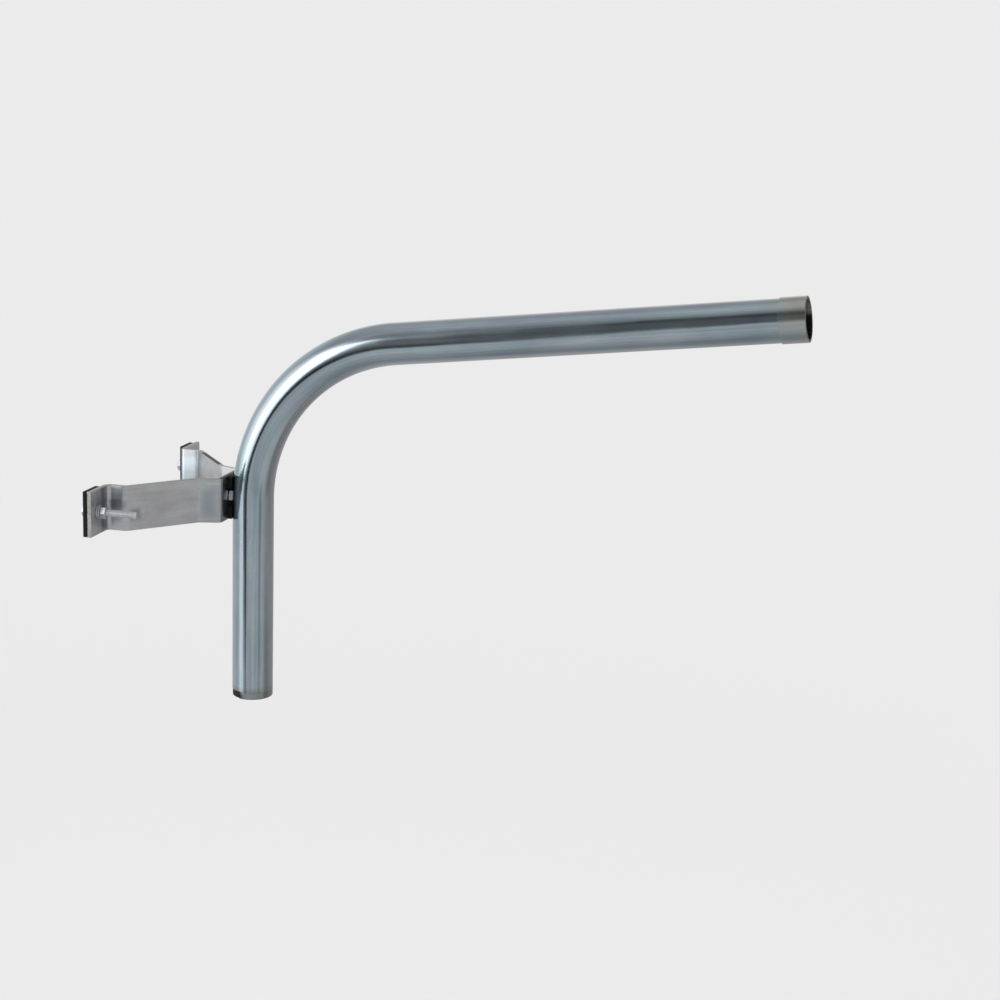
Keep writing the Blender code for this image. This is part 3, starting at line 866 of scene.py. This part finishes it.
for side, y in BOLT_Y.items():
    outer_side = -SPAN_HALF + PAD_INSET if side == "front" else y - PAD_WIDTH / 2
    block(side + "_pad_rubber", (-CLEARANCE - PAD_THICKNESS, outer_side, -STRAP_HEIGHT / 2),
          (-CLEARANCE, y + PAD_WIDTH / 2, STRAP_HEIGHT / 2), PAD_ROUNDING,
          side + "_pad", side + "_clamp_pad", hole=y)
    head_washer = -2 * CLEARANCE - PAD_THICKNESS - CLAMP_WASHER[2]
    make_washer(side + "_head_washer_ring", side + "_bolt", side + "_head_washer",
                head_washer, y, CLAMP_WASHER)
    make_bolt(side + "_bolt_thread", side + "_bolt", side + "_clamp_bolt",
              head_washer - CLEARANCE, y,
              CLAMP_FLATS, CLAMP_HEAD, CLAMP_RADIUS, CLAMP_PITCH, CLAMP_LENGTH)
    nut_washer = STRAP_THICKNESS + CLEARANCE
    make_washer(side + "_nut_washer_ring", "frame", side + "_nut_washer",
                nut_washer, y, CLAMP_WASHER)
    spring = nut_washer + CLAMP_WASHER[2] + CLEARANCE
    make_washer(side + "_spring_ring", "frame", side + "_spring_washer",
                spring, y, CLAMP_SPRING, split=True)
    make_nut(side + "_nut_hex", side + "_nut", side + "_clamp_nut",
             spring + CLAMP_SPRING[2] + CLEARANCE, y, CLAMP_FLATS, CLAMP_NUT, CLAMP_BORE)

for name, (low, high) in SADDLE_HEIGHTS.items():
    block(name + "_saddle_rubber", (WEB_TUBE_FACE + CLEARANCE, -SADDLE_HALF, low),
          (TUBE_FACE + SADDLE_WRAP, SADDLE_HALF, high), SADDLE_ROUNDING,
          "frame", name + "_saddle_pad", hollow=True)

washer = WEB_TUBE_FACE - STRAP_THICKNESS - CLEARANCE - FIXING_WASHER[2]
make_washer("fixing_washer_ring", "frame", "fixing_washer", washer, 0, FIXING_WASHER)
spring = washer - CLEARANCE - FIXING_SPRING[2]
make_washer("fixing_spring_ring", "frame", "fixing_spring_washer", spring, 0, FIXING_SPRING,
            split=True)
make_bolt("fixing_bolt_thread", "frame", "fixing_bolt", spring - CLEARANCE, 0,
          FIXING_FLATS, FIXING_HEAD, FIXING_RADIUS, FIXING_PITCH, FIXING_LENGTH)
make_nut("weld_nut_hex", "frame", "tube_weld_nut", WEB_TUBE_FACE + CLEARANCE, 0,
         FIXING_FLATS, FIXING_NUT, FIXING_BORE, WELD_NUT_TURN)


# Floor, light and camera
BACKGROUND = 0.831
FLOOR_Z = -1.15
FLOOR_TONE = 0.905
FLOOR_FADE = (2.0, 4.5)

# Studio, in degrees: turn is counted from the key light, rise from the horizon. A pane gives its
# turn and its rise, each as start, full, fading and end, then the share of light that it keeps.
KEY_AZIMUTH = -138
KEY_TONE = 1.7
KEY_CENTRE = (-14.0, 8.0)
KEY_RIGHT, KEY_LEFT, KEY_UP, KEY_DOWN = 29.0, 52.0, 31.0, 17.0
KEY_EDGE = (0.82, 1.16)
KEY_FADE = (-57, -12)
RIGHT_AZIMUTH = 55
UPPER_RING = (22, 42, 58, 70)
ABOVE_KEY = (-16, 6, 28, 44), (26, 38, 50, 60), 0.72
SIDE_LINE = (96, 104, 110, 118), (-24, -18, -8, 0), 0.62
SIDE_LINE_TOP = (97, 104, 116, 124), (-16, -13, -6, 0), 0.80
DARK_STEP = (7, 15, 28, 36), (-19, -14, -10, -4), 0.16
FRONT_LOW = (24, 32, 90, 104), (-24, -20, -17.5, -14.5), 0.84
SILL = (-18, -4, 12, 20), (-26, -22, -10, -4)
SILL_TONE = 0.85
UNDER = (-21, -15)
UNDER_LEFT = (-90, -62, -26, -10)
UNDER_FAR = (138, 148, 160, 170)
GAP = (17, 24, 38, 48)
GAP_TOP = (40, 56)

CAMERA_LENS = 79.3838
CAMERA_PLACE = (1.093476, -2.329458, 0.59983)
CAMERA_RIGHT = (0.9601711, 0.27780703, 0.02991173)
CAMERA_UP = (-0.09214787, 0.21377336, 0.97252749)
CAMERA_BACK = (0.26378065, -0.93654909, 0.23085833)


def make_stage():
    """Pale floor that blends into the plain background far from the object."""
    mesh = bpy.data.meshes.new("floor")
    shell = bmesh.new()
    bmesh.ops.create_grid(shell, x_segments=8, y_segments=8, size=60)
    shell.to_mesh(mesh)
    shell.free()
    floor_item = bpy.data.objects.new("floor", mesh)
    bpy.context.scene.collection.objects.link(floor_item)
    floor_item.location = (0, 0, FLOOR_Z)
    material = bpy.data.materials.new("pale_floor")
    material.use_nodes = True
    tree = material.node_tree
    shader = tree.nodes["Principled BSDF"]
    shader.inputs["Base Color"].default_value = (FLOOR_TONE, FLOOR_TONE, FLOOR_TONE, 1)
    shader.inputs["Roughness"].default_value = 0.95
    shader.inputs["Specular IOR Level"].default_value = 0.0
    glow = tree.nodes.new("ShaderNodeEmission")
    glow.inputs["Color"].default_value = (BACKGROUND, BACKGROUND, BACKGROUND, 1)
    position = tree.nodes.new("ShaderNodeNewGeometry")
    length = tree.nodes.new("ShaderNodeVectorMath")
    length.operation = "LENGTH"
    tree.links.new(position.outputs["Position"], length.inputs[0])
    mixed = tree.nodes.new("ShaderNodeMixShader")
    tree.links.new(spread(tree, length.outputs["Value"], *FLOOR_FADE), mixed.inputs[0])
    tree.links.new(shader.outputs[0], mixed.inputs[1])
    tree.links.new(glow.outputs[0], mixed.inputs[2])
    tree.links.new(mixed.outputs[0], tree.nodes["Material Output"].inputs["Surface"])
    mesh.materials.append(material)
    floor_item.visible_glossy = False
    floor_item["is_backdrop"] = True


def darken(tree, tone, mask, keep):
    """Tone where the mask is 0, and keep times it where the mask is 1."""
    return multiply(tree, tone, invert(tree, multiply(tree, mask, 1 - keep)))


def pane_mask(tree, turn, rise, across, up):
    return multiply(tree, window(tree, turn, *across), window(tree, rise, *up))


def heading(tree, x, y, azimuth):
    """How far a direction points towards an azimuth, from -1 to 1."""
    angle = radians(azimuth)
    return add(tree, multiply(tree, x, cos(angle)), multiply(tree, y, sin(angle)))


def squared_offset(tree, value, beyond, short):
    """Square of the offset, measured in beyond where it is positive and in short where negative."""
    more = math_node(tree, "DIVIDE", math_node(tree, "MAXIMUM", value, 0.0), beyond)
    less = math_node(tree, "DIVIDE", math_node(tree, "MINIMUM", value, 0.0), short)
    return math_node(tree, "POWER", add(tree, more, math_node(tree, "ABSOLUTE", less)), 2.0)


def key_window(tree, turn, rise):
    """Big soft window: an oval with four half axes that fades out to the left."""
    flat = squared_offset(tree, subtract(tree, turn, KEY_CENTRE[0]), KEY_RIGHT, KEY_LEFT)
    tall = squared_offset(tree, subtract(tree, rise, KEY_CENTRE[1]), KEY_UP, KEY_DOWN)
    oval = invert(tree, smooth(tree, math_node(tree, "SQRT", add(tree, flat, tall)), *KEY_EDGE))
    fade = math_node(tree, "POWER", spread(tree, turn, *KEY_FADE), 1.2)
    return multiply(tree, multiply(tree, oval, fade), KEY_TONE)


def dark_gap(tree, turn, rise):
    """Dark upright strip right of the key light; its foot slants and bends to the right."""
    foot = add(tree, multiply(tree, subtract(tree, turn, 30.0), 2.6), -21.0)
    above_foot = smooth(tree, subtract(tree, rise, foot), -5.0, 5.0)
    sunk = math_node(tree, "MAXIMUM", subtract(tree, -13.5, rise), 0.0)
    sunk = math_node(tree, "MINIMUM", sunk, 10.0)
    bent = subtract(tree, turn, multiply(tree, sunk, 1.3))
    strip = multiply(tree, window(tree, bent, *GAP), above_foot)
    return multiply(tree, strip, invert(tree, smooth(tree, rise, *GAP_TOP)))


def make_world():
    """Studio round the object: a big soft window at the left front, a dark gap right of it,
    a greyer ring above, and a dimmer right side. The camera sees a plain background."""
    world = bpy.data.worlds.new("studio")
    bpy.context.scene.world = world
    world.use_nodes = True
    tree = world.node_tree
    back = tree.nodes["Background"]
    way = tree.nodes.new("ShaderNodeTexCoord")
    parts = tree.nodes.new("ShaderNodeSeparateXYZ")
    tree.links.new(way.outputs["Generated"], parts.inputs[0])
    x, y, z = parts.outputs
    ahead = heading(tree, x, y, KEY_AZIMUTH)
    aside = subtract(tree, multiply(tree, y, cos(radians(KEY_AZIMUTH))),
                     multiply(tree, x, sin(radians(KEY_AZIMUTH))))
    turn = math_node(tree, "DEGREES", math_node(tree, "ARCTAN2", aside, ahead))
    rise = math_node(tree, "DEGREES", math_node(tree, "ARCSINE", z))
    right = heading(tree, x, y, RIGHT_AZIMUTH)

    def shade(tone, pane):
        across, up, keep = pane
        return darken(tree, tone, pane_mask(tree, turn, rise, across, up), keep)

    tone = darken(tree, 1.0, window(tree, rise, *UPPER_RING), 0.72)
    tone = shade(tone, ABOVE_KEY)
    tone = darken(tree, tone, invert(tree, smooth(tree, rise, -26, -6)), 0.94)
    tone = darken(tree, tone, invert(tree, smooth(tree, rise, -88, -28)), 0.58)
    low_right = multiply(tree, smooth(tree, right, 0.20, 0.75),
                         invert(tree, smooth(tree, rise, -8, 8)))
    tone = darken(tree, tone, low_right, 0.60)
    tone = shade(tone, SIDE_LINE)
    under = invert(tree, smooth(tree, rise, *UNDER))
    tone = darken(tree, tone, multiply(tree, window(tree, turn, *UNDER_LEFT), under), 0.93)
    tone = darken(tree, tone, multiply(tree, window(tree, turn, *UNDER_FAR), under), 0.74)
    tone = shade(tone, SIDE_LINE_TOP)
    tone = add(tree, tone, multiply(tree, pane_mask(tree, turn, rise, *SILL), SILL_TONE))
    tone = add(tree, tone, key_window(tree, turn, rise))
    tone = darken(tree, tone, dark_gap(tree, turn, rise), 0.23)
    tone = shade(tone, DARK_STEP)
    tone = shade(tone, FRONT_LOW)

    rays = tree.nodes.new("ShaderNodeLightPath")
    seen = rays.outputs["Is Camera Ray"]
    shown = add(tree, multiply(tree, seen, BACKGROUND), multiply(tree, invert(tree, seen), tone))
    warm = multiply(tree, rays.outputs["Is Glossy Ray"], smooth(tree, right, 0.0, 0.8))
    tint = mix_colour(tree, warm, (1.0, 1.0, 1.0), (1.07, 0.97, 0.95))
    tree.links.new(tint, back.inputs["Color"])
    tree.links.new(shown, back.inputs["Strength"])


def make_softbox(name, azimuth, elevation, distance, size, power, target):
    """Area light that looks at the target and that the camera doesn't see."""
    light = bpy.data.lights.new(name, "AREA")
    light.shape = "RECTANGLE"
    light.size, light.size_y = size
    light.energy = power
    item = bpy.data.objects.new(name, light)
    bpy.context.scene.collection.objects.link(item)
    way = Vector((cos(radians(azimuth)) * cos(radians(elevation)),
                  sin(radians(azimuth)) * cos(radians(elevation)), sin(radians(elevation))))
    item.location = Vector(target) + way * distance
    item.rotation_mode = "QUATERNION"
    item.rotation_quaternion = way.to_track_quat("Z", "Y")
    item.visible_camera = False


def make_camera():
    data = bpy.data.cameras.new("camera")
    data.sensor_width = 36
    data.lens = CAMERA_LENS
    data.clip_start, data.clip_end = 0.05, 200
    item = bpy.data.objects.new("camera", data)
    bpy.context.scene.collection.objects.link(item)
    turned = Matrix((CAMERA_RIGHT, CAMERA_UP, CAMERA_BACK)).transposed().to_4x4()
    item.matrix_world = Matrix.Translation(CAMERA_PLACE) @ turned
    bpy.context.scene.camera = item


make_stage()
make_world()
make_softbox("key", -134, 16.4, 0.99, (0.62, 0.96), 3.4, (TUBE_X, 0, 0.03))
make_camera()
bpy.context.scene.view_settings.view_transform = "Standard"

low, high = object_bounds()
